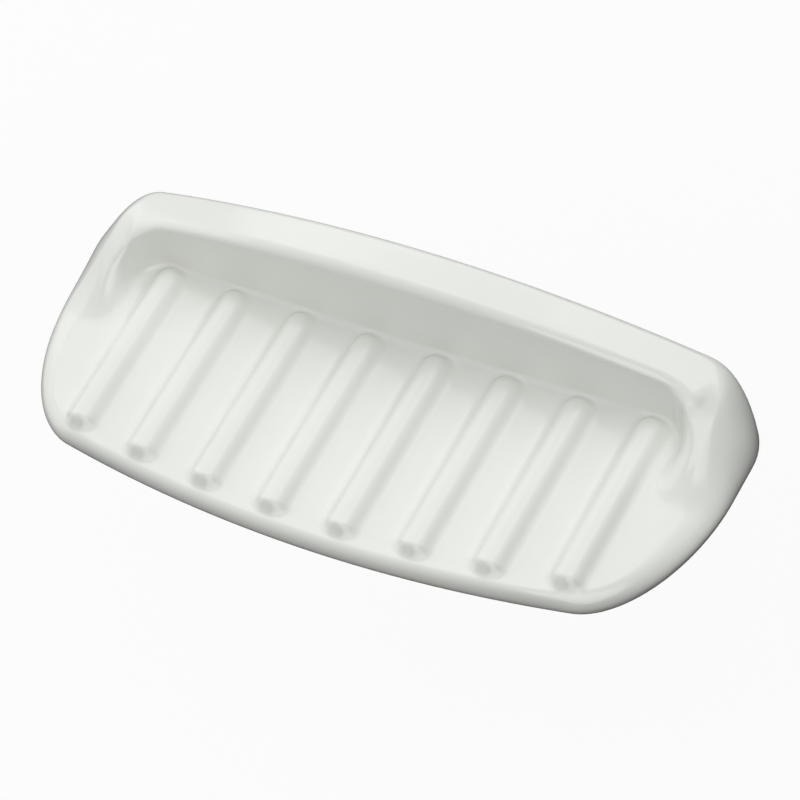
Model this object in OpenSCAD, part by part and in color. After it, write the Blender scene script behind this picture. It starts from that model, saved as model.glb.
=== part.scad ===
// Wall-hung china soap dish with draining ribs, its concealed wall hanger and its two wall pads.
// The origin is on the wall face, midway between the hanger's two screw holes. -Y is the front, +Z is up.

/* [Tray] */
// Length of the dish, left to right
dish_length = 190; // [170:1:220]
// Depth of the tray at its ends, from its back face to the lip
tray_depth = 64.5; // [60:0.5:80]
// How much further the lip reaches in the middle of the front
front_bow = 11.5; // [0:0.5:14]
// Front corners of the lip outline, along the length
front_corner_run = 23; // [18:1:36]
// Front corners of the lip outline, along the depth
front_corner_rise = 38; // [28:1:48]
// Back corners of the lip outline
back_corner_r = 16; // [10:1:18]
// Thickness of the rounded lip
lip_thickness = 7; // [6:0.5:8]
// Height of the floor at the back, above the underside
floor_height = 12; // [11:0.5:15]
// Fall of the floor from back to front, so that it drains
floor_fall = 1.2; // [0:0.1:2]
// Flat of the underside left in front of the wall
foot_depth = 26; // [20:1:34]
// Flat of the underside stops this far inside the ends
foot_end_inset = 18; // [12:1:24]

/* [Back and sides] */
// Height of the back above the underside, in the middle
back_height = 33; // [32:0.5:44]
// How much lower the back's crest would stand at the ends of the dish
back_arch = 13; // [6:0.5:15]
// Width of the level ledge on top of the back
ledge_width = 8.2; // [7.6:0.2:12]
// Rounding of the back's rear top edge
rear_edge_r = 1.5; // [1:0.25:3]
// Run of the outer slope from the lip in to the crest, at the ends
side_slope_run = 9; // [6:0.2:11]
// Run of the roll from the floor to the lip, at the front
front_roll_run = 1.9; // [1.5:0.1:3.5]
// Width of the crest on the side rims
side_crest_w = 1.5; // [1:0.25:3]
// Run of the side rims' inner slope
side_wall_run = 8; // [4:0.25:10]
// Rise of the crest over the floor where the side rims end
rim_rise = 0.8; // [0.2:0.1:2]
// Corner radius of the crest outline at the front
crest_front_r = 30; // [22:1:34]
// Corner radius of the crest outline at the back
crest_back_r = 12.2; // [12:0.1:18]
// Rounding of the ledge's front edge
ledge_edge_r = 3; // [1.5:0.25:4]
// Lean of the back wall over its height
wall_lean = 1.5; // [0.5:0.25:3]
// Fillet between the back wall and the floor
wall_foot_r = 2.2; // [1.5:0.1:4]

/* [Ribs] */
// Number of draining ribs
rib_count = 8; // [4:1:8]
// Distance between neighbouring ribs
rib_pitch = 19.8; // [14:0.2:20]
// Width of a rib across its flanks
rib_width = 7.2; // [5:0.2:9]
// Height of a rib above the floor
rib_height = 2.7; // [2:0.1:4]
// Rounding of a rib's top edges
rib_top_r = 2.1; // [1:0.1:2.2]
// Distance from the lip to the front end of a rib
rib_setback = 4.6; // [3.5:0.1:8]
// How far the round back end of a rib reaches over the foot of the wall
rib_reach = 1.2; // [0.6:0.1:2.4]

/* [Hanger] */
// Width of the hanger plate
hanger_w = 64; // [56:1:70]
// Height of the flat of the hanger plate
hanger_h = 10; // [9:0.5:12]
// Thickness of the pressed steel
hanger_t = 1.6; // [1.2:0.1:2]
// How far the sloping hook reaches out and up
hook_reach = 3.2; // [2.5:0.1:4]
// Distance between the two screw holes
screw_spacing = 44; // [36:1:48]
// Diameter of the screw holes
screw_hole_d = 4.6; // [4:0.1:5]
// Height of the screw holes above the dish's underside
screw_height = 15; // [15:0.5:16]
// Corner radius of the hanger plate
hanger_corner_r = 2; // [1:0.25:3]
// Lift that frees the dish from the hanger
lift_off = 3; // [2.5:0.25:3.5]
// Depth of the pocket in the back of the dish
pocket_depth = 5.5; // [5:0.25:6]
// Gap between the hook and the slope it carries
seat_gap = 0.1; // [0.05:0.05:0.2]
// Side clearance of the hanger in its pocket
pocket_side_gap = 1; // [0.5:0.25:2]
// Clearance under the hanger when the dish is lifted off
pocket_low_gap = 0.5; // [0.25:0.25:1]

/* [Pads] */
// Diameter of a wall pad
pad_d = 9; // [7:0.5:10]
// Gap that the pads keep between the dish and the wall
wall_gap = 1; // [0.5:0.25:1.5]
// Depth of a pad's seat in the dish
pad_seat_depth = 1; // [0.5:0.25:1.5]
// Clearance round a pad in its seat
pad_seat_gap = 0.1; // [0.05:0.05:0.2]
// Distance between the two pads
pad_spacing = 132; // [110:1:138]
// Height of the pads above the underside
pad_height = 8.5; // [7:0.5:9]

/* [Hidden] */
corner_steps = 10;
long_steps = 26;
side_steps = 12;
round_facets = 64;
rib_facets = 24;
// Where the side rims start to fall and where they end, along the tray's depth
rim_fall_shares = [0.08, 0.57];
// Smoothness of the outer slope, the lip and the wall's roundings
slope_steps = 8;
lip_steps = 5;
edge_steps = 4;
// How marked the outer edge of the crest is, where 1 gives a plain quarter round
crest_edge_power = 1.8;
// How full the front corners of the crest are, where 1 gives a plain ellipse and less is fuller
crest_corner_power = 0.62;
half_length = dish_length / 2;
lip_r = lip_thickness / 2;
lip_z = floor_height - floor_fall - lip_r;
wall_run = ledge_edge_r + wall_lean + wall_foot_r;
pocket_low_z = screw_height - hanger_h / 2 - lift_off - pocket_low_gap;
pocket_roof_z = screw_height + hanger_h / 2 + wall_gap + seat_gap * sqrt(2);
overrun = 1;
corner_cut = hanger_corner_r + overrun;
plate_cut = hanger_t + 2 * overrun;
china = "#eef0ea";
zinc = "#b9bdc0";
clear_vinyl = "#dfe3e2";

function smooth(t) = let (u = min(1, max(0, t))) u * u * (3 - 2 * u);

// Quarter of an ellipse, or of a fuller curve where the power is less than 1
function arc_points(centre, run, rise, start, power) =
    [for (i = [0:corner_steps])
        let (
            a = start + 90 * i / corner_steps,
            across = sign(cos(a)) * pow(abs(cos(a)), power),
            along = sign(sin(a)) * pow(abs(sin(a)), power)
        )
        [centre[0] + run * across, centre[1] + rise * along]];

function line_points(from, to, steps) =
    [for (i = [1:steps - 1]) from + (to - from) * i / steps];

function last(points) = points[len(points) - 1];

// Outline round the dish, counter-clockwise from its front right corner, before the front is bowed
function outline(half_x, front, back, front_run, front_rise, back_r, power) =
    let (
        front_x = half_x - front_run,
        front_y = front + front_rise,
        back_x = half_x - back_r,
        back_y = back - back_r,
        front_right = arc_points([front_x, front_y], front_run, front_rise, -90, power),
        back_right = arc_points([back_x, back_y], back_r, back_r, 0, 1),
        back_left = arc_points([-back_x, back_y], back_r, back_r, 90, 1),
        front_left = arc_points([-front_x, front_y], front_run, front_rise, 180, power)
    )
    concat(
        front_right, line_points(last(front_right), back_right[0], side_steps),
        back_right, line_points(last(back_right), back_left[0], long_steps),
        back_left, line_points(last(back_left), front_left[0], side_steps),
        front_left, line_points(last(front_left), front_right[0], long_steps)
    );

function depth_share(p) = -p[1] / tray_depth;

// Bows the front of an outline out, most in the middle of the length
function bowed(p) = [p[0], p[1] - front_bow * (1 - pow(p[0] / half_length, 2)) * depth_share(p)];

function floor_z(y) = floor_height + floor_fall * y / (tray_depth + front_bow);

function lip_outline(inset) = outline(
    half_length - inset, inset - tray_depth, 0,
    front_corner_run - inset, front_corner_rise - inset, back_corner_r - inset / 2, 1);

lip = lip_outline(0);
crest = outline(
    half_length - side_slope_run, front_roll_run - tray_depth, -rear_edge_r,
    crest_front_r, crest_front_r, crest_back_r, crest_corner_power);
inner_front_r = crest_front_r - side_crest_w;
inner = outline(
    half_length - side_slope_run - side_crest_w,
    front_roll_run + side_crest_w / 2 - tray_depth, -ledge_width,
    inner_front_r, inner_front_r, crest_back_r - side_crest_w, crest_corner_power);
toe = outline(
    half_length - side_slope_run - side_crest_w - side_wall_run,
    front_roll_run + side_crest_w + side_wall_run / 4 - tray_depth, -ledge_width - wall_run,
    inner_front_r - side_wall_run / 2, inner_front_r - side_wall_run / 2,
    crest_back_r - side_crest_w - side_wall_run / 2, crest_corner_power);
foot = outline(
    half_length - foot_end_inset, -foot_depth, 0,
    back_corner_r, back_corner_r, back_corner_r / 2, 1);
around = [0:len(lip) - 1];

// One where the dish meets the wall, zero at its ends and front
back_part = [for (p = crest) smooth(1 + (p[1] + rear_edge_r) / crest_back_r)];

// One along the back wall, zero along the side rims, whose inner slope is an easy curve
wall_part = [for (p = crest) smooth(1 + (p[1] + rear_edge_r) / (2 * crest_back_r))];

// Height of the top: arched along the back, falling along the sides to just over the floor.
// A level part of the depth, such as the ledge's width, is left out of the fall.
function top_z(p, level) =
    let (
        depth = depth_share(p) - level / tray_depth,
        low = floor_z(bowed(p)[1]) + rim_rise * (1 - smooth(depth)),
        high = back_height - back_arch * pow(p[0] / half_length, 2),
        fall = (depth - rim_fall_shares[0]) / (rim_fall_shares[1] - rim_fall_shares[0])
    )
    high + (low - high) * smooth(fall);

crest_z = [for (p = crest) top_z(p, 0)];
inner_z = [for (i = around) top_z(inner[i], (ledge_width - rear_edge_r) * back_part[i])];

// Height of the outer slope, which turns into a small rounding along the rear top edge
slope_h = [for (i = around)
    let (full = crest_z[i] - lip_z)
    full + (rear_edge_r - full) * back_part[i]];

function plan(from, to, share, i) = bowed(from[i] + (to[i] - from[i]) * share);
function raised(p, z) = [p[0], p[1], z];

// Foot, underside and lower half of the lip
under_rings = concat(
    [[for (i = around) raised(foot[i], 0)]],
    [for (k = [0:lip_steps - 1])
        let (
            a = 80 - 80 * k / lip_steps,
            inset = lip_outline(lip_r * (1 - cos(a)))
        )
        [for (i = around) raised(bowed(inset[i]), lip_z - lip_r * sin(a))]]
);

// Outer slope from the lip up to the crest
slope_rings = [for (k = [0:slope_steps])
    let (a = 90 * k / slope_steps)
    [for (i = around)
        let (p = plan(lip, crest, 1 - pow(cos(a), crest_edge_power), i))
        raised(p, crest_z[i] - slope_h[i] * (1 - sin(a)))]];

// Profile of the inner wall in the middle of the back: rounded edge, leaning wall, foot fillet
wall_h = back_height - floor_height;
wall_profile = concat(
    [for (k = [1:edge_steps])
        let (a = 90 * k / edge_steps)
        [ledge_edge_r * sin(a), ledge_edge_r * (1 - cos(a))]],
    [for (k = [0:edge_steps - 1])
        let (a = 90 * k / edge_steps)
        [wall_run - wall_foot_r * cos(a), wall_h - wall_foot_r * (1 - sin(a))]]
);

// The same profile round the dish, in shares of each place's run and height
wall_rings = concat(
    [[for (i = around) raised(bowed(inner[i]), inner_z[i])]],
    [for (k = [0:len(wall_profile) - 1])
        let (t = (k + 1) / (len(wall_profile) + 1))
        [for (i = around)
            let (
                run_share = t + (wall_profile[k][0] / wall_run - t) * wall_part[i],
                fall_share = smooth(t) + (wall_profile[k][1] / wall_h - smooth(t)) * wall_part[i],
                p = plan(inner, toe, run_share, i)
            )
            raised(p, inner_z[i] + (floor_z(p[1]) - inner_z[i]) * fall_share)]],
    [[for (i = around) let (p = bowed(toe[i])) raised(p, floor_z(p[1]))]]
);

// Skin through a stack of rings, closed by a flat face at each end
module loft(rings) {
    n = len(rings[0]);
    points = [for (ring = rings) each ring];
    sides = [for (k = [0:len(rings) - 2], i = [0:n - 1])
        each [
            [k * n + i, (k + 1) * n + i, (k + 1) * n + (i + 1) % n],
            [k * n + i, (k + 1) * n + (i + 1) % n, k * n + (i + 1) % n]
        ]];
    bottom = [for (i = [0:n - 1]) i];
    top = [for (i = [0:n - 1]) (len(rings) - 1) * n + n - 1 - i];
    polyhedron(points = points, faces = concat([bottom], [top], sides), convexity = 8);
}

// Right half of a rib's section: rounded top edge, upright flank, and a root below the floor
rib_root = lip_r;
rib_half = concat(
    [[0, rib_height]],
    [for (k = [0:edge_steps])
        let (a = 90 - 90 * k / edge_steps)
        [rib_width / 2 - rib_top_r + rib_top_r * cos(a), rib_height - rib_top_r + rib_top_r * sin(a)]],
    [[rib_width / 2, -rib_root], [0, -rib_root]]
);

// A rib with round ends, from the foot of the back wall to the lip, following the fall of the floor
module rib(x) {
    front_y = bowed([x, rib_setback - tray_depth])[1] + rib_width / 2;
    back_y = bowed([x, -ledge_width - wall_run])[1] + rib_reach - rib_width / 2;
    hull()
        for (y = [front_y, back_y])
            translate([x, y, floor_z(y)])
                rotate_extrude($fn = rib_facets)
                    polygon(rib_half);
}

// Pocket for the hanger, whose sloping roof hooks over it
module hanger_pocket() {
    width = hanger_w + 2 * pocket_side_gap;
    translate([width / 2, 0, 0])
        rotate([0, -90, 0])
            linear_extrude(height = width)
                polygon([
                    [pocket_low_z, overrun],
                    [pocket_roof_z - overrun, overrun],
                    [pocket_roof_z + pocket_depth, -pocket_depth],
                    [pocket_low_z, -pocket_depth]
                ]);
}

module at_pads() {
    for (side = [-1, 1])
        translate([side * pad_spacing / 2, 0, pad_height])
            rotate([90, 0, 0])
                children();
}

module dish() {
    color(china)
        translate([0, -wall_gap, -screw_height])
            difference() {
                union() {
                    loft(concat(under_rings, slope_rings, wall_rings));
                    for (k = [0:rib_count - 1])
                        rib((k - (rib_count - 1) / 2) * rib_pitch);
                }
                hanger_pocket();
                at_pads()
                    translate([0, 0, -overrun])
                        cylinder(
                            d = pad_d + 2 * pad_seat_gap,
                            h = pad_seat_depth + overrun,
                            $fn = round_facets);
            }
}

// Section of the hanger: flat plate with its hook sloping out and up
hanger_section = let (low = -hanger_h / 2, high = hanger_h / 2, lean = hanger_t / sqrt(2)) [
    [low, 0],
    [high, 0],
    [high + hook_reach, -hook_reach],
    [high + hook_reach - lean, -hook_reach - lean],
    [high - hanger_t * (sqrt(2) - 1), -hanger_t],
    [low, -hanger_t]
];

module wall_hanger() {
    color(zinc)
        difference() {
            translate([hanger_w / 2, 0, 0])
                rotate([0, -90, 0])
                    linear_extrude(height = hanger_w)
                        polygon(hanger_section);
            for (side = [-1, 1])
                translate([side * screw_spacing / 2, overrun, 0])
                    rotate([90, 0, 0])
                        cylinder(d = screw_hole_d, h = plate_cut, $fn = round_facets);
            // Rounded lower corners of the plate
            for (side = [-1, 1])
                translate([side * (hanger_w / 2 - hanger_corner_r), overrun, hanger_corner_r - hanger_h / 2])
                    rotate([90, 0, 0])
                        difference() {
                            translate([side > 0 ? 0 : -corner_cut, -corner_cut, 0])
                                cube([corner_cut, corner_cut, plate_cut]);
                            cylinder(r = hanger_corner_r, h = plate_cut, $fn = round_facets);
                        }
        }
}

module wall_pads() {
    color(clear_vinyl)
        translate([0, 0, -screw_height])
            at_pads()
                cylinder(d = pad_d, h = wall_gap + pad_seat_depth, $fn = round_facets);
}

dish();
wall_hanger();
wall_pads();
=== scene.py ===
import math
import bpy
import numpy as np
from mathutils import Matrix, Vector


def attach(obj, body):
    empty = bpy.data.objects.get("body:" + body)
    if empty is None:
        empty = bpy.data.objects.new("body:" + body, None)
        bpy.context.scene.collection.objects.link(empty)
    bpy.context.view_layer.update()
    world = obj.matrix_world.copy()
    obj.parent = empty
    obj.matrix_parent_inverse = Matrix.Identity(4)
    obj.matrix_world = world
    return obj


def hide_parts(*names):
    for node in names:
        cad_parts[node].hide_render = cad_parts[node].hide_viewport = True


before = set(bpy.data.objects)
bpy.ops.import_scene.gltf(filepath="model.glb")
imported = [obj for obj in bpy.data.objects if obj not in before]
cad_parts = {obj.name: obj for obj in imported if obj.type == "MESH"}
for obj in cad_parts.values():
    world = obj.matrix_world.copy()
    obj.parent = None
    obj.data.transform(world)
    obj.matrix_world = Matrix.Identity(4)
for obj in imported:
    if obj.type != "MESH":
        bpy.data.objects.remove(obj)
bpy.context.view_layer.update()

millimetre = 0.001


# Camera: looks down on the dish from the front right, turned a little in its own plane

viewpoint = {
    "target": (0.0, -0.041, 0.002),   # metres, the middle of the dish
    "azimuth": 0.7807,                # radians round the dish from its front
    "elevation": 0.8996,              # radians above the level
    "roll": -0.35,
    "distance": 1.0378,
    "pixelsPerMetre": 4078.8,         # at the target
    "pictureSize": 800,
    "targetPixel": (357.7, 408.9),
    "sensor": 36.0,
}


def makeCamera(v):
    a, e, roll = v["azimuth"], v["elevation"], v["roll"]
    back = Vector((math.sin(a) * math.cos(e), -math.cos(a) * math.cos(e), math.sin(e)))
    levelRight = Vector((math.cos(a), math.sin(a), 0.0))
    levelUp = back.cross(levelRight)
    right = levelRight * math.cos(roll) + levelUp * math.sin(roll)
    up = levelUp * math.cos(roll) - levelRight * math.sin(roll)
    data = bpy.data.cameras.new("studioCamera")
    data.sensor_width = v["sensor"]
    data.lens = v["pixelsPerMetre"] * v["distance"] * v["sensor"] / v["pictureSize"]
    half = v["pictureSize"] / 2
    data.shift_x = (half - v["targetPixel"][0]) / v["pictureSize"]
    data.shift_y = (v["targetPixel"][1] - half) / v["pictureSize"]
    camera = bpy.data.objects.new("studioCamera", data)
    turn = Matrix((right, up, back)).transposed().to_4x4()
    camera.matrix_world = Matrix.Translation(Vector(v["target"]) + back * v["distance"]) @ turn
    bpy.context.scene.collection.objects.link(camera)
    bpy.context.scene.camera = camera


makeCamera(viewpoint)
print("camera placed")


# Node arithmetic: a Field is one value of a node tree, so that a rule reads as a formula

def mathNode(tree, operation, *values):
    node = tree.nodes.new("ShaderNodeMath")
    node.operation = operation
    for socket, value in zip(node.inputs, values):
        if isinstance(value, Field):
            tree.links.new(value.socket, socket)
        else:
            socket.default_value = value
    return Field(tree, node.outputs[0])


class Field:
    def __init__(self, tree, socket):
        self.tree, self.socket = tree, socket

    def __add__(self, other):
        return mathNode(self.tree, "ADD", self, other)

    def __sub__(self, other):
        return mathNode(self.tree, "SUBTRACT", self, other)

    def __mul__(self, other):
        return mathNode(self.tree, "MULTIPLY", self, other)

    def __truediv__(self, other):
        return mathNode(self.tree, "DIVIDE", self, other)

    def __neg__(self):
        return mathNode(self.tree, "MULTIPLY", self, -1.0)

    def __radd__(self, other):
        return mathNode(self.tree, "ADD", other, self)

    def __rsub__(self, other):
        return mathNode(self.tree, "SUBTRACT", other, self)

    def __rmul__(self, other):
        return mathNode(self.tree, "MULTIPLY", other, self)

    def apply(self, operation, *others):
        return mathNode(self.tree, operation, self, *others)


def ease(value):
    u = value.apply("MAXIMUM", 0.0).apply("MINIMUM", 1.0)
    return u * u * (3.0 - 2.0 * u)


def pick(condition, whenTrue, whenFalse):
    return whenFalse + (whenTrue - whenFalse) * condition


def readField(tree, name, dataType="FLOAT"):
    node = tree.nodes.new("GeometryNodeInputNamedAttribute")
    node.data_type = dataType
    node.inputs["Name"].default_value = name
    return node.outputs["Attribute"]


def splitVector(tree, socket):
    node = tree.nodes.new("ShaderNodeSeparateXYZ")
    tree.links.new(socket, node.inputs[0])
    return [Field(tree, output) for output in node.outputs]


# The dish's sizes in millimetres: the CAD source's, with rounder edges and softer, blunter ribs

dishSizes = {
    "Half length": 95.0,
    "Tray depth": 64.5,
    "Front bow": 11.5,
    "Lip thickness": 7.0,
    "Floor height": 12.0,
    "Floor fall": 1.2,
    "Back height": 33.0,
    "Back arch": 13.0,
    "Rear edge radius": 1.5,
    "Rim rise": 0.8,
    "Rim fall start": 0.08,
    "Rim fall end": 0.57,
    "Crest back radius": 12.2,
    "Rib count": 8,
    "Rib pitch": 19.8,
    "Rib width": 7.2,
    "Rib height": 2.7,
    "Rib flank slope": 1.15,
    "Rib end run": 3.6,             # over which the blunt front end falls to the lip
    "Rib end roundness": 0.06,      # how far its sides turn back, per mm squared from its middle
    "Rib top softness": 3.0,
    "Rib foot softness": 2.4,
    "Rib setback": 3.9,             # from the lip to halfway up the front end
    "Rib back": 13.7,               # from the back face to the rib's round back end
    "Wall gap": 1.0,
    "Screw height": 15.0,
}

outlineSizes = {
    "frontCornerRun": 23.0, "frontCornerRise": 38.0, "backCornerRadius": 16.0,
    "footDepth": 26.0, "footEndInset": 18.0, "footCurve": 1.2,
    "underLipTurn": 80.0,      # degrees that the lip's round goes on underneath
    "ledgeWidth": 8.2, "sideSlopeRun": 9.0, "frontRollRun": 2.4, "sideCrestWidth": 1.5, "sideWallRun": 8.0,
    "crestFrontRadius": 30.0, "ledgeEdgeRadius": 3.0, "wallLean": 1.5, "wallFootRadius": 2.2,
    "crestEdgePower": 1.45,    # how marked the crest's outer edge is, where 1 gives a plain quarter round
    "frontEdgePower": 1.05,    # the same at the front roll
    "frontEdgeFrom": 0.68,     # share of the depth where the one starts to turn into the other
    "frontEdgeRun": 0.28,
    "crestCornerPower": 0.62,  # how full its front corners are, where 1 gives a plain ellipse
    "ledgeEasing": 0.5,        # how far round the back corners the ledge stays level, in corner radii
    "wallEasing": 1.4,         # the same for the steep inner wall
}

meshSteps = {
    "columnEnd": 75.0,      # columns run straight across the dish inside this x, round its ends outside it
    "columnMargin": 0.3, "arcSamples": 200,
    "cornerSteps": 12, "sideRows": 40, "sideCrowding": 1.5,
    "ribOffsets": [0.0, 0.8, 1.4, 1.8, 2.1, 2.4, 2.7, 3.0, 3.3, 3.6, 3.9, 4.2, 4.6, 5.1, 5.8],
    "betweenRibs": 4, "footRings": 5, "footCrowding": 1.5, "lipRings": 9, "slopeRings": 18,
    "ledgeRings": 4, "edgeRings": 8, "wallRings": 6, "filletRings": 11,
    "sharpAngle": 50.0,     # edges that turn more than this stay sharp
}


def acrossColumns(d, m):
    xs = []
    for k in range(d["Rib count"]):
        centre = (k - (d["Rib count"] - 1) / 2) * d["Rib pitch"]
        xs += [centre + side * offset for offset in m["ribOffsets"] for side in (-1, 1)]
        if k:
            gap = d["Rib pitch"] - 2 * m["ribOffsets"][-1]
            start = centre - d["Rib pitch"] + m["ribOffsets"][-1]
            xs += [start + gap * i / (m["betweenRibs"] + 1) for i in range(1, m["betweenRibs"] + 1)]
    end = m["columnEnd"]
    return np.array(sorted({round(x, 4) for x in xs if abs(x) < end - m["columnMargin"]} | {-end, end}))


columns = acrossColumns(dishSizes, meshSteps)
rowShares = np.arange(meshSteps["sideRows"] + 1) / meshSteps["sideRows"]
rowShares = rowShares ** meshSteps["sideCrowding"]


def ringPoints(halfX, front, back, frontRun, frontRise, backRadius, power=1.0):
    # Counter-clockwise: along the front, round the right end, back along the rear, round the left end
    end, samples = meshSteps["columnEnd"], meshSteps["arcSamples"]
    over = np.clip((np.abs(columns) - (halfX - frontRun)) / frontRun, 0, 1)
    frontSide = np.c_[columns, front + frontRise * (1 - (1 - over ** (2 / power)) ** (power / 2))]
    over = np.clip(np.abs(columns) - (halfX - backRadius), 0, backRadius)
    backSide = np.c_[columns, back - backRadius + np.sqrt(backRadius ** 2 - over ** 2)]
    turnFrom = math.asin(min(max((end - halfX + frontRun) / frontRun, 0), 1) ** (1 / power))
    turn = np.linspace(turnFrom, math.pi / 2, samples)
    across, along = np.sin(turn) ** power, np.maximum(np.cos(turn), 0) ** power
    frontCorner = np.c_[halfX - frontRun + frontRun * across, front + frontRise * (1 - along)]
    turnFrom = math.asin(min(max((end - halfX + backRadius) / backRadius, 0), 1))
    turn = np.linspace(math.pi / 2, turnFrom, samples)
    backCorner = np.c_[halfX - backRadius + backRadius * np.sin(turn), back - backRadius * (1 - np.cos(turn))]
    path = np.vstack([frontSide[-1:], frontCorner, backCorner, backSide[-1:]])
    along = np.r_[0, np.cumsum(np.hypot(*np.diff(path, axis=0).T))]
    corner, rows = meshSteps["cornerSteps"], meshSteps["sideRows"]
    cornerShare = corner / (2 * corner + rows)
    shares = np.r_[
        np.linspace(0, cornerShare, corner + 1)[:-1],
        cornerShare + (1 - 2 * cornerShare) * rowShares,
        np.linspace(1 - cornerShare, 1, corner + 1)[1:]]
    rightEnd = np.c_[[np.interp(shares * along[-1], along, path[:, axis]) for axis in (0, 1)]].T[1:-1]
    leftEnd = rightEnd[::-1] * [-1, 1]
    return np.vstack([frontSide, rightEnd, backSide[::-1], leftEnd])


def easeArray(value):
    u = np.clip(value, 0, 1)
    return u * u * (3 - 2 * u)


def dishRings(d, o, m):
    half, depth, lipRadius = d["Half length"], d["Tray depth"], d["Lip thickness"] / 2
    lipHeight = d["Floor height"] - d["Floor fall"] - lipRadius
    crestWidth, wallRun = o["sideCrestWidth"], o["sideWallRun"]
    run = o["ledgeEdgeRadius"] + o["wallLean"] + o["wallFootRadius"]

    def lipRing(inset):
        return ringPoints(half - inset, inset - depth, 0, o["frontCornerRun"] - inset,
                          o["frontCornerRise"] - inset, o["backCornerRadius"] - inset / 2)

    lip = lipRing(0)
    backRadius, corner = d["Crest back radius"], o["crestCornerPower"]
    frontRadius = o["crestFrontRadius"]
    crest = ringPoints(half - o["sideSlopeRun"], o["frontRollRun"] - depth, -d["Rear edge radius"],
                       frontRadius, frontRadius, backRadius, corner)
    frontRadius = o["crestFrontRadius"] - crestWidth
    inner = ringPoints(half - o["sideSlopeRun"] - crestWidth, o["frontRollRun"] + crestWidth / 2 - depth,
                       -o["ledgeWidth"], frontRadius, frontRadius, backRadius - crestWidth, corner)
    frontRadius = o["crestFrontRadius"] - crestWidth - wallRun / 2
    toe = ringPoints(half - o["sideSlopeRun"] - crestWidth - wallRun,
                     o["frontRollRun"] + crestWidth + wallRun / 4 - depth, -o["ledgeWidth"] - run,
                     frontRadius, frontRadius, backRadius - crestWidth - wallRun / 2, corner)
    foot = ringPoints(half - o["footEndInset"], -o["footDepth"], 0,
                      o["backCornerRadius"], o["backCornerRadius"], o["backCornerRadius"] / 2)

    # A ring is its plan, its zone (0 under the lip, 1 outer slope, 2 ledge and inner wall), its share of
    # the zone's fall, and for each point the plan and the level part of the top edge above it
    rings = []
    fromBack = (crest[:, 1:] + d["Rear edge radius"]) / backRadius
    crestTop = np.c_[crest, np.zeros(len(crest))]
    isLedge = easeArray(1 + fromBack / o["ledgeEasing"])
    innerTop = np.c_[inner, (o["ledgeWidth"] - d["Rear edge radius"]) * isLedge]
    lowest = math.radians(o["underLipTurn"])
    underLip = lipRing(lipRadius * (1 - math.cos(lowest)))
    underHeight = lipHeight - lipRadius * math.sin(lowest)
    for k in range(m["footRings"]):
        t = (k / m["footRings"]) ** m["footCrowding"]
        rings.append((foot + (underLip - foot) * t, 0, underHeight * t ** o["footCurve"], crestTop))
    for k in range(m["lipRings"]):
        turn = lowest * (1 - k / m["lipRings"])
        plan = lipRing(lipRadius * (1 - math.cos(turn)))
        rings.append((plan, 0, lipHeight - lipRadius * math.sin(turn), crestTop))
    toFront = easeArray((-crest[:, 1:] / depth - o["frontEdgeFrom"]) / o["frontEdgeRun"])
    power = o["crestEdgePower"] + (o["frontEdgePower"] - o["crestEdgePower"]) * toFront
    for k in range(m["slopeRings"] + 1):
        turn = math.pi / 2 * k / m["slopeRings"]
        across = 1 - max(math.cos(turn), 0) ** power
        rings.append((lip + (crest - lip) * across, 1, 1 - math.sin(turn), crestTop))
    for k in range(1, m["ledgeRings"] + 1):
        top = crestTop + (innerTop - crestTop) * k / m["ledgeRings"]
        rings.append((top[:, :2], 2, 0.0, top))

    wallHeight = d["Back height"] - d["Floor height"]
    edge, fillet = o["ledgeEdgeRadius"], o["wallFootRadius"]
    profile = []
    for k in range(1, m["edgeRings"] + 1):
        turn = math.pi / 2 * k / m["edgeRings"]
        profile.append((edge * math.sin(turn), edge * (1 - math.cos(turn))))
    for k in range(1, m["wallRings"]):
        t = k / m["wallRings"]
        profile.append((edge + o["wallLean"] * t, edge + (wallHeight - edge - fillet) * t))
    for k in range(m["filletRings"] + 1):
        turn = math.pi / 2 * k / m["filletRings"]
        profile.append((run - fillet * math.cos(turn), wallHeight - fillet * (1 - math.sin(turn))))
    # Steep along the back, an easy curve along the side rims
    steep = easeArray(1 + fromBack / o["wallEasing"])
    for k, (across, down) in enumerate(profile):
        t = (k + 1) / len(profile)
        runShare = t + (across / run - t) * steep
        easy = easeArray(t)
        fallShare = easy + (down / wallHeight - easy) * steep
        rings.append((inner + (toe - inner) * runShare, 2, fallShare[:, 0], innerTop))
    return rings


def floorPatch(ring):
    # Rows of plan points inside the innermost ring, and the ring's indices round them
    n, corner, rows = len(columns), meshSteps["cornerSteps"], meshSteps["sideRows"]
    count = len(ring)
    front = [(i - corner) % count for i in range(n + 2 * corner)]
    rightFrom = n - 1 + corner
    right = [rightFrom + j for j in range(rows + 1)]
    backFrom = right[-1]
    rear = [backFrom + i for i in range(n + 2 * corner)][::-1]
    left = [(front[0] - j) % count for j in range(rows + 1)]
    grid = np.zeros((rows + 1, len(front)), dtype=int) - 1
    grid[0], grid[-1], grid[:, 0], grid[:, -1] = front, rear, left, right
    weight = easeArray(1 - np.arange(len(front)) / (2 * corner))
    points = []
    for j in range(1, rows):
        line = ring[front] + (ring[rear] - ring[front]) * rowShares[j]
        toLeft, toRight = ring[left[j]] - line[0], ring[right[j]] - line[-1]
        line = line + weight[:, None] * toLeft + weight[::-1, None] * toRight
        grid[j, 1:-1] = count + len(points) + np.arange(len(front) - 2)
        points += list(line[1:-1])
    return np.array(points), grid


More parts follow.
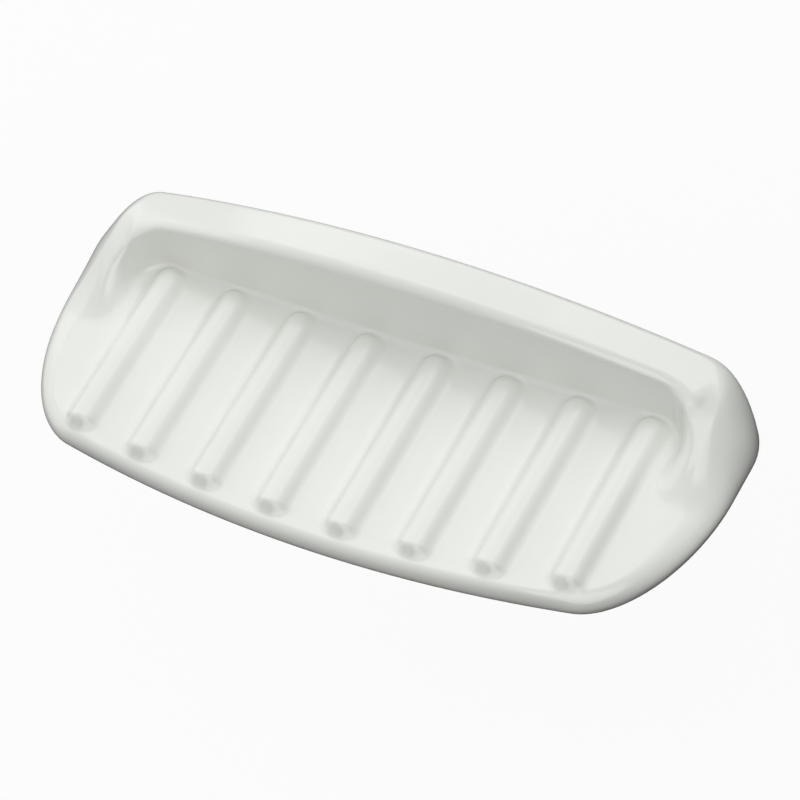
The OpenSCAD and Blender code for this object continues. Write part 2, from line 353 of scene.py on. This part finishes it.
def dishTemplate():
    rings = dishRings(dishSizes, outlineSizes, meshSteps)
    n = len(rings[0][0])
    patch, grid = floorPatch(rings[-1][0])
    plan = np.vstack([ring[0] for ring in rings] + [patch])
    zone = np.concatenate([np.full(n, ring[1]) for ring in rings] + [np.full(len(patch), 2)])
    share = np.concatenate([np.zeros(n) + ring[2] for ring in rings] + [np.ones(len(patch))])
    topPlan = np.vstack([ring[3] for ring in rings] + [np.zeros((len(patch), 3))])
    faces = [tuple(range(n))[::-1]]
    for k in range(len(rings) - 1):
        low, high = k * n, (k + 1) * n
        faces += [(low + i, low + (i + 1) % n, high + (i + 1) % n, high + i) for i in range(n)]
    top = (len(rings) - 1) * n
    grid = grid + top
    for j in range(grid.shape[0] - 1):
        for i in range(grid.shape[1] - 1):
            faces.append((grid[j, i], grid[j, i + 1], grid[j + 1, i + 1], grid[j + 1, i]))
    mesh = bpy.data.meshes.new("dishTemplate")
    mesh.from_pydata([(x, y, 0.0) for x, y in plan], [], [tuple(map(int, face)) for face in faces])
    for name, values in (("zone", zone), ("share", share)):
        mesh.attributes.new(name, "FLOAT", "POINT").data.foreach_set("value", values.astype(np.float32))
    topPlan = topPlan.astype(np.float32).ravel()
    mesh.attributes.new("topPlan", "FLOAT_VECTOR", "POINT").data.foreach_set("vector", topPlan)
    return mesh


def dishTree(sizes, material):
    # Rule of the dish: bowed front, draining floor, arched crest falling along the sides, and the ribs
    tree = bpy.data.node_groups.new("dishRule", "GeometryNodeTree")
    tree.interface.new_socket("Geometry", in_out="INPUT", socket_type="NodeSocketGeometry")
    for name, value in sizes.items():
        kind = "NodeSocketInt" if isinstance(value, int) else "NodeSocketFloat"
        tree.interface.new_socket(name, in_out="INPUT", socket_type=kind).default_value = value
    tree.interface.new_socket("Geometry", in_out="OUTPUT", socket_type="NodeSocketGeometry")
    given = tree.nodes.new("NodeGroupInput")
    result = tree.nodes.new("NodeGroupOutput")
    size = {name: Field(tree, given.outputs[name]) for name in sizes}
    half, depth = size["Half length"], size["Tray depth"]

    def bowed(x, y):
        reach = x / half
        return y + size["Front bow"] * (1.0 - reach * reach) * (y / depth)

    def floorAt(y):
        return size["Floor height"] + size["Floor fall"] * y / (depth + size["Front bow"])

    x, y, _ = splitVector(tree, tree.nodes.new("GeometryNodeInputPosition").outputs[0])
    topX, topY, level = splitVector(tree, readField(tree, "topPlan", "FLOAT_VECTOR"))
    zone = Field(tree, readField(tree, "zone"))
    share = Field(tree, readField(tree, "share"))
    outerY = bowed(x, y)

    # Height of the top edge belonging to each point, and of the outer slope below it
    topDepth = -(topY + level) / depth
    low = floorAt(bowed(topX, topY)) + size["Rim rise"] * (1.0 - ease(topDepth))
    reach = topX / half
    high = size["Back height"] - size["Back arch"] * reach * reach
    fall = ease((topDepth - size["Rim fall start"]) / (size["Rim fall end"] - size["Rim fall start"]))
    crest = high + (low - high) * fall
    lipHeight = size["Floor height"] - size["Floor fall"] - size["Lip thickness"] * 0.5
    full = crest - lipHeight
    backPart = ease(1.0 + (topY + size["Rear edge radius"]) / size["Crest back radius"])
    slope = full + (size["Rear edge radius"] - full) * backPart

    # Under the lip a ring's share is already its height
    isUnder = zone.apply("LESS_THAN", 0.5)
    isInner = zone.apply("GREATER_THAN", 1.5)
    onSlope = crest - slope * share
    onInner = crest + (floorAt(outerY) - crest) * share
    height = pick(isInner, onInner, pick(isUnder, share, onSlope))

    # Ribs: parallel bars with rounded tops, soft feet, round rear ends and blunt front ends that fall
    # over the lip, set out from the middle
    middle = (size["Rib count"] - 1.0) * 0.5
    index = (x / size["Rib pitch"] + middle).apply("ROUND").apply("MAXIMUM", 0.0)
    index = index.apply("MINIMUM", size["Rib count"] - 1.0)
    ribX = (index - middle) * size["Rib pitch"]
    halfRib = size["Rib width"] * 0.5
    toLip = bowed(ribX, size["Rib setback"] - depth) - outerY
    behind = (outerY - bowed(ribX, -size["Rib back"]) + halfRib).apply("MAXIMUM", 0.0)
    aside = x - ribX
    away = (aside * aside + behind * behind).apply("SQRT")
    flank = (halfRib - away) * size["Rib flank slope"] + size["Rib height"] * 0.5
    ribTop = flank.apply("SMOOTH_MIN", size["Rib height"], size["Rib top softness"])
    overSurface = ribTop - (height - floorAt(outerY))
    frontEnd = ease(0.5 - (toLip + aside * aside * size["Rib end roundness"]) / size["Rib end run"])
    ribBody = overSurface.apply("SMOOTH_MAX", 0.0, size["Rib foot softness"])
    ribRise = ribBody * frontEnd * (1.0 - isUnder)

    join = tree.nodes.new("ShaderNodeCombineXYZ")
    toWall = (x * millimetre, (outerY - size["Wall gap"]) * millimetre,
              (height + ribRise - size["Screw height"]) * millimetre)
    for value, socket in zip(toWall, join.inputs):
        tree.links.new(value.socket, socket)
    place = tree.nodes.new("GeometryNodeSetPosition")
    realize = tree.nodes.new("GeometryNodeRealizeInstances")
    paint = tree.nodes.new("GeometryNodeSetMaterial")
    paint.inputs["Material"].default_value = material
    tree.links.new(given.outputs["Geometry"], place.inputs["Geometry"])
    tree.links.new(join.outputs[0], place.inputs["Position"])
    tree.links.new(place.outputs[0], realize.inputs[0])
    tree.links.new(realize.outputs[0], paint.inputs[0])
    tree.links.new(paint.outputs[0], result.inputs[0])
    return tree


def bakeObject(piece):
    # The evaluated mesh takes the place of the object's own, and its modifiers go
    evaluated = piece.evaluated_get(bpy.context.evaluated_depsgraph_get())
    mesh = bpy.data.meshes.new_from_object(evaluated)
    piece.modifiers.clear()
    piece.data = mesh
    return mesh


def addObject(name, mesh):
    piece = bpy.data.objects.new(name, mesh)
    bpy.context.scene.collection.objects.link(piece)
    return piece


# Materials

def newMaterial(name):
    material = bpy.data.materials.new(name)
    material.use_nodes = True
    tree = material.node_tree
    shader = tree.nodes["Principled BSDF"]
    coordinates = tree.nodes.new("ShaderNodeTexCoord").outputs["Object"]
    return material, tree, shader, coordinates


def mottleGroup():
    # Soft cloudy variation, from 0 to 1, used by every finish at its own scale
    tree = bpy.data.node_groups.new("softMottle", "ShaderNodeTree")
    tree.interface.new_socket("Vector", in_out="INPUT", socket_type="NodeSocketVector")
    for name, value in (("Scale", 40.0), ("Detail", 3.0), ("Low", 0.35), ("High", 0.65)):
        tree.interface.new_socket(name, in_out="INPUT", socket_type="NodeSocketFloat").default_value = value
    tree.interface.new_socket("Mask", in_out="OUTPUT", socket_type="NodeSocketFloat")
    given, result = tree.nodes.new("NodeGroupInput"), tree.nodes.new("NodeGroupOutput")
    noise = tree.nodes.new("ShaderNodeTexNoise")
    spread = tree.nodes.new("ShaderNodeMapRange")
    spread.interpolation_type = "SMOOTHSTEP"
    for name in ("Vector", "Scale", "Detail"):
        tree.links.new(given.outputs[name], noise.inputs[name])
    tree.links.new(noise.outputs["Fac"], spread.inputs["Value"])
    tree.links.new(given.outputs["Low"], spread.inputs["From Min"])
    tree.links.new(given.outputs["High"], spread.inputs["From Max"])
    tree.links.new(spread.outputs["Result"], result.inputs["Mask"])
    return tree


softMottle = mottleGroup()


def mottle(tree, coordinates, scale, detail=3.0, low=0.35, high=0.65):
    node = tree.nodes.new("ShaderNodeGroup")
    node.node_tree = softMottle
    tree.links.new(coordinates, node.inputs["Vector"])
    for name, value in (("Scale", scale), ("Detail", detail), ("Low", low), ("High", high)):
        node.inputs[name].default_value = value
    return node.outputs["Mask"]


def mixColours(tree, factor, first, second):
    node = tree.nodes.new("ShaderNodeMix")
    node.data_type = "RGBA"
    tree.links.new(factor, node.inputs["Factor"])
    for socket, value in ((node.inputs[6], first), (node.inputs[7], second)):    # the two colour inputs
        if isinstance(value, tuple):
            socket.default_value = (*value, 1.0)
        else:
            tree.links.new(value, socket)
    return node.outputs[2]


def mixValues(tree, factor, first, second):
    node = tree.nodes.new("ShaderNodeMapRange")
    tree.links.new(factor, node.inputs["Value"])
    for name, value in (("To Min", first), ("To Max", second)):
        if isinstance(value, float):
            node.inputs[name].default_value = value
        else:
            tree.links.new(value, node.inputs[name])
    return node.outputs["Result"]


def addBump(tree, shader, height, strength, distance):
    bump = tree.nodes.new("ShaderNodeBump")
    bump.inputs["Strength"].default_value = strength
    bump.inputs["Distance"].default_value = distance
    tree.links.new(height, bump.inputs["Height"])
    tree.links.new(bump.outputs["Normal"], shader.inputs["Normal"])


glazeLook = {
    "white": (0.835, 0.85, 0.805),
    "coolWhite": (0.815, 0.835, 0.79),
    "biscuit": (0.70, 0.67, 0.60),
    "biscuitShade": 0.93,          # its darker speckle
    "rearFrom": -0.00125,          # the rear face is left bare from here to the wall
    "rearBlur": 0.0001,
    "roughLow": 0.09, "roughHigh": 0.16, "biscuitRough": 0.8,
    "cloudScale": 22.0, "speckleScale": 420.0, "glossScale": 60.0,
    "rippleScale": 85.0, "rippleStrength": 0.12, "rippleHeight": 0.0004,
    "refraction": 1.52,
}


def chinaGlaze(look):
    material, tree, shader, coordinates = newMaterial("chinaGlaze")
    clouds = mottle(tree, coordinates, look["cloudScale"])
    fine = mottle(tree, coordinates, look["speckleScale"], detail=5.0)
    glaze = mixColours(tree, clouds, look["white"], look["coolWhite"])
    bare = tree.nodes.new("ShaderNodeMapRange")
    split = splitVector(tree, coordinates)
    tree.links.new(split[1].socket, bare.inputs["Value"])
    bare.inputs["From Min"].default_value = look["rearFrom"] - look["rearBlur"]
    bare.inputs["From Max"].default_value = look["rearFrom"] + look["rearBlur"]
    isBare = bare.outputs["Result"]
    darker = tuple(look["biscuitShade"] * c for c in look["biscuit"])
    clay = mixColours(tree, fine, look["biscuit"], darker)
    tree.links.new(mixColours(tree, isBare, glaze, clay), shader.inputs["Base Color"])
    patches = mottle(tree, coordinates, look["glossScale"])
    gloss = mixValues(tree, patches, look["roughLow"], look["roughHigh"])
    tree.links.new(mixValues(tree, isBare, gloss, look["biscuitRough"]), shader.inputs["Roughness"])
    shader.inputs["IOR"].default_value = look["refraction"]
    ripple = mottle(tree, coordinates, look["rippleScale"], detail=1.0, low=0.2, high=0.8)
    addBump(tree, shader, ripple, look["rippleStrength"], look["rippleHeight"])
    return material


zincLook = {
    "bright": (0.66, 0.68, 0.70), "dull": (0.50, 0.52, 0.54), "spangle": 260.0,
    "wearScale": 120.0, "roughLow": 0.28, "roughHigh": 0.46, "wearStrength": 0.1, "wearHeight": 0.0002,
    "oxideScale": 35.0, "metalLow": 0.9, "metalHigh": 1.0,
}


def zincPlate(look):
    material, tree, shader, coordinates = newMaterial("zincPlate")
    cells = tree.nodes.new("ShaderNodeTexVoronoi")
    cells.inputs["Scale"].default_value = look["spangle"]
    tree.links.new(coordinates, cells.inputs["Vector"])
    grey = tree.nodes.new("ShaderNodeSeparateColor")
    tree.links.new(cells.outputs["Color"], grey.inputs[0])
    spangle = mixColours(tree, grey.outputs[0], look["bright"], look["dull"])
    tree.links.new(spangle, shader.inputs["Base Color"])
    worn = mottle(tree, coordinates, look["wearScale"])
    tree.links.new(mixValues(tree, worn, look["roughLow"], look["roughHigh"]), shader.inputs["Roughness"])
    oxide = mottle(tree, coordinates, look["oxideScale"])
    tree.links.new(mixValues(tree, oxide, look["metalLow"], look["metalHigh"]), shader.inputs["Metallic"])
    addBump(tree, shader, worn, look["wearStrength"], look["wearHeight"])
    return material


vinylLook = {
    "pale": (0.78, 0.80, 0.79), "deep": (0.66, 0.69, 0.68), "cloudScale": 180.0,
    "roughLow": 0.32, "roughHigh": 0.5, "clearness": 0.25, "clearDepth": 0.002,
    "grainScale": 500.0, "grainStrength": 0.15, "grainHeight": 0.0001,
}


def clearVinyl(look):
    material, tree, shader, coordinates = newMaterial("clearVinyl")
    clouds = mottle(tree, coordinates, look["cloudScale"])
    tree.links.new(mixColours(tree, clouds, look["pale"], look["deep"]), shader.inputs["Base Color"])
    tree.links.new(mixValues(tree, clouds, look["roughLow"], look["roughHigh"]), shader.inputs["Roughness"])
    shader.inputs["Subsurface Weight"].default_value = look["clearness"]
    shader.inputs["Subsurface Radius"].default_value = (look["clearDepth"],) * 3
    grain = mottle(tree, coordinates, look["grainScale"])
    addBump(tree, shader, grain, look["grainStrength"], look["grainHeight"])
    return material


chinaMaterial = chinaGlaze(glazeLook)
zincMaterial = zincPlate(zincLook)
vinylMaterial = clearVinyl(vinylLook)
print("finishes made")


# The dish: template, rule, then the hanger pocket and the pad seats cut into its back

backSizes = {
    "pocketWidth": 66.0, "pocketLow": 6.5, "pocketRoof": 21.14, "pocketDepth": 5.5,
    "padDiameter": 9.2, "padSpacing": 132.0, "padHeight": 8.5, "seatDepth": 1.0, "overrun": 1.0,
}


def prism(outline, width):
    half = width / 2
    n = len(outline)
    points = [(x, y, z) for x in (-half, half) for y, z in outline]
    faces = [tuple(range(n))[::-1], tuple(range(n, 2 * n))]
    faces += [(i, (i + 1) % n, n + (i + 1) % n, n + i) for i in range(n)]
    return points, faces


def disc(centreX, centreZ, radius, front, rear, facets=48):
    turns = [2 * math.pi * i / facets for i in range(facets)]
    points = [(centreX + radius * math.cos(t), y, centreZ + radius * math.sin(t))
              for y in (front, rear) for t in turns]
    faces = [tuple(range(facets)), tuple(range(facets, 2 * facets))[::-1]]
    faces += [(i, facets + i, facets + (i + 1) % facets, (i + 1) % facets) for i in range(facets)]
    return points, faces


def backCutter(b, d):
    over = b["overrun"]
    pieces = [prism([(over, b["pocketLow"]), (over, b["pocketRoof"] - over),
                     (-b["pocketDepth"], b["pocketRoof"] + b["pocketDepth"]),
                     (-b["pocketDepth"], b["pocketLow"])], b["pocketWidth"])]
    padX, padRadius = b["padSpacing"] / 2, b["padDiameter"] / 2
    for side in (-1, 1):
        pieces.append(disc(side * padX, b["padHeight"], padRadius, -b["seatDepth"], over))
    points, faces = [], []
    for somePoints, someFaces in pieces:
        faces += [tuple(i + len(points) for i in face) for face in someFaces]
        points += somePoints
    mesh = bpy.data.meshes.new("backCutter")
    mesh.from_pydata([(x * millimetre, (y - d["Wall gap"]) * millimetre, (z - d["Screw height"]) * millimetre)
                      for x, y, z in points], [], faces)
    return addObject("backCutter", mesh)


def makeDish():
    dish = addObject("glazedDish", dishTemplate())
    rule = dish.modifiers.new("dishRule", "NODES")
    rule.node_group = dishTree(dishSizes, chinaMaterial)
    for item in rule.node_group.interface.items_tree:
        if item.in_out == "INPUT" and item.name in dishSizes:
            rule[item.identifier] = dishSizes[item.name]
    bakeObject(dish)
    cutter = backCutter(backSizes, dishSizes)
    cut = dish.modifiers.new("backCut", "BOOLEAN")
    cut.operation = "DIFFERENCE"
    cut.solver = "EXACT"
    cut.object = cutter
    mesh = bakeObject(dish)
    bpy.data.objects.remove(cutter)
    mesh.materials.clear()
    mesh.materials.append(chinaMaterial)
    mesh.polygons.foreach_set("use_smooth", [True] * len(mesh.polygons))
    mesh.set_sharp_from_angle(angle=math.radians(meshSteps["sharpAngle"]))
    for name in ("zone", "share", "topPlan"):
        if name in mesh.attributes:
            mesh.attributes.remove(mesh.attributes[name])
    print("dish made,", len(mesh.polygons), "faces")
    return dish


glazedDish = makeDish()
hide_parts("dish")
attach(glazedDish, "dish_body")

for nodeName, material in (("wall_hanger", zincMaterial), ("wall_pads", vinylMaterial)):
    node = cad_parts[nodeName]
    if not node.material_slots:
        node.data.materials.append(material)
    for slot in node.material_slots:
        slot.material = material
print("hanger and pads finished")


# Floor and light: a pale floor well below the dish, and wide soft lights round and above it

studio = {
    "floorHeight": -0.30, "floorSize": 12.0, "floorColour": (0.2, 0.2, 0.2),
    "floorShade": 0.985, "floorMottle": 3.0, "floorRough": 0.9,
    "floorGlow": 0.78,                # keeps the floor as pale far away as it is under the lights
    "surroundColour": (1.0, 1.0, 1.0), "surroundStrength": 0.85,
    "viewTransform": "Standard",      # keeps white china white, as the photo has it
    "aim": (0.0, -0.04, 0.0), "lightDistance": 3.0, "lightSize": 3.2,
    "lights": {                       # degrees round from the front, degrees up, watts
        "frontLight": (22, 50, 57.1),
        "rearLight": (202, 50, 34.7),
        "leftLight": (270, 20, 26.8),
        "rearRightLight": (157, 50, 18.4),
        "rearLeftLight": (225, 20, 14.8),
        "rightLight": (112, 50, 9.6),
        "frontLeftLight": (315, 20, 5.9),
    },
}


def softLight(name, s):
    turn, rise, power = s["lights"][name]
    turn, rise = math.radians(turn), math.radians(rise)
    level = math.cos(rise)
    direction = Vector((level * math.sin(turn), -level * math.cos(turn), math.sin(rise)))
    data = bpy.data.lights.new(name, "AREA")
    data.shape = "DISK"
    data.size = s["lightSize"]
    data.energy = power
    light = bpy.data.objects.new(name, data)
    light.location = Vector(s["aim"]) + direction * s["lightDistance"]
    light.rotation_euler = (-direction).to_track_quat("-Z", "Y").to_euler()
    light.visible_camera = False
    bpy.context.scene.collection.objects.link(light)


def makeStudio(s):
    half = s["floorSize"] / 2
    mesh = bpy.data.meshes.new("paleFloor")
    corners = ((-half, -half), (half, -half), (half, half), (-half, half))
    mesh.from_pydata([(x, y, s["floorHeight"]) for x, y in corners], [], [(0, 1, 2, 3)])
    floor = addObject("paleFloor", mesh)
    material, tree, shader, coordinates = newMaterial("floorPaint")
    colour = s["floorColour"]
    darker = tuple(s["floorShade"] * c for c in colour)
    shade = mixColours(tree, mottle(tree, coordinates, s["floorMottle"]), colour, darker)
    tree.links.new(shade, shader.inputs["Base Color"])
    shader.inputs["Roughness"].default_value = s["floorRough"]
    shader.inputs["Emission Color"].default_value = (1.0, 1.0, 1.0, 1.0)
    shader.inputs["Emission Strength"].default_value = s["floorGlow"]
    mesh.materials.append(material)
    floor.visible_diffuse = False     # it is seen, but throws no light up under the dish
    floor.visible_glossy = False
    world = bpy.data.worlds.new("studioWorld")
    world.use_nodes = True
    background = world.node_tree.nodes["Background"]
    background.inputs["Color"].default_value = (*s["surroundColour"], 1.0)
    background.inputs["Strength"].default_value = s["surroundStrength"]
    bpy.context.scene.world = world
    world.cycles_visibility.diffuse = False
    world.cycles_visibility.glossy = False
    bpy.context.scene.view_settings.view_transform = s["viewTransform"]
    for name in s["lights"]:
        softLight(name, s)


makeStudio(studio)
print("studio lit")
